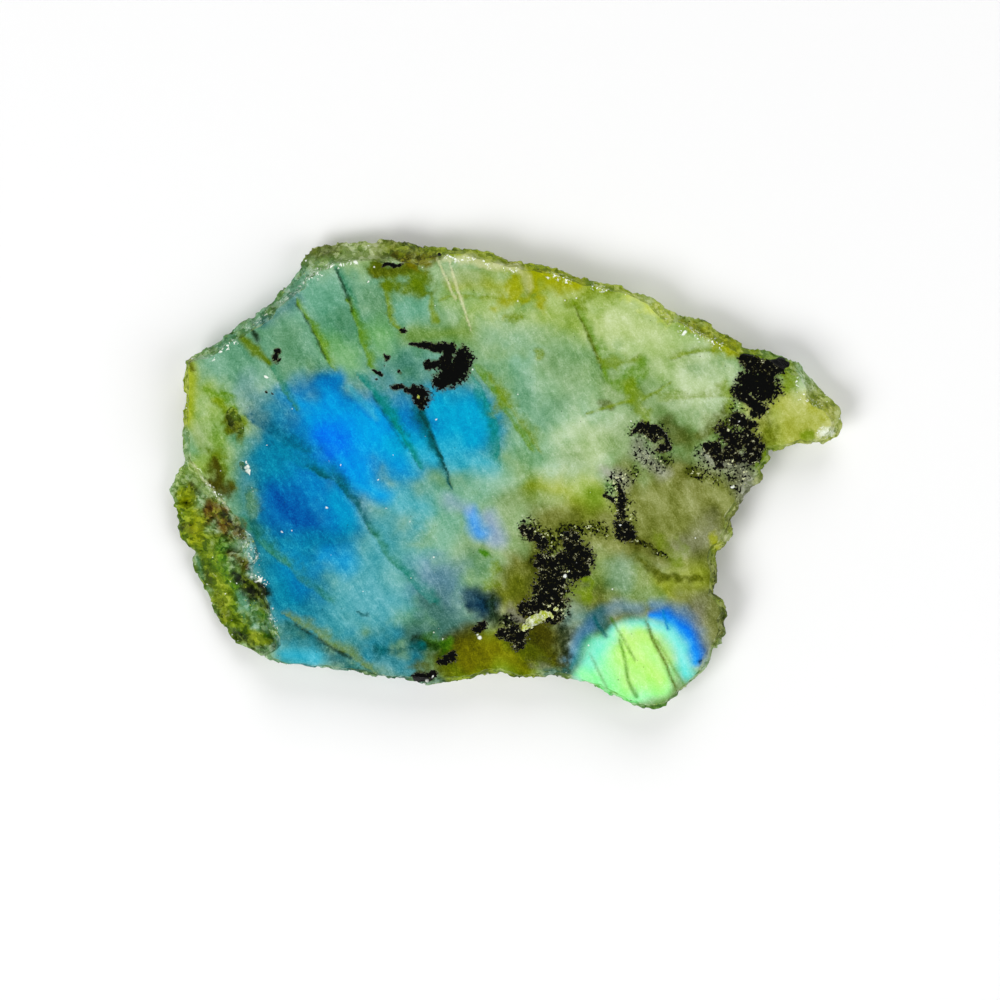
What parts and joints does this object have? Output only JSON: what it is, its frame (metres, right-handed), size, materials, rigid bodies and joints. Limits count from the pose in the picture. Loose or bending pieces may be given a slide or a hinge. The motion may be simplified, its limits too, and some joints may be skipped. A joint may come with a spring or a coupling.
{
  "type": "polished labradorite slab",
  "caption": "Thin free-form labradorite slab with a flat polished face, a flat sawn back and a broken rough rim, lying face up.",
  "frame": {"origin": "middle of the bounding box, on the plane of the sawn back that the slab rests on", "axes": "+X along the slab towards its beak-shaped end, +Y across the face towards its long sloping edge, +Z out of the polished face"},
  "size_m": [0.0966, 0.0672, 0.007],
  "materials": {
    "stone": "grey-green feldspar with blue and green colour flashes, black inclusions and olive stains; gloss polish on the face, rough broken rim, fine-sawn matt back"
  },
  "bodies": {
    "root": {"slab": "stone"}
  },
  "joints": []
}
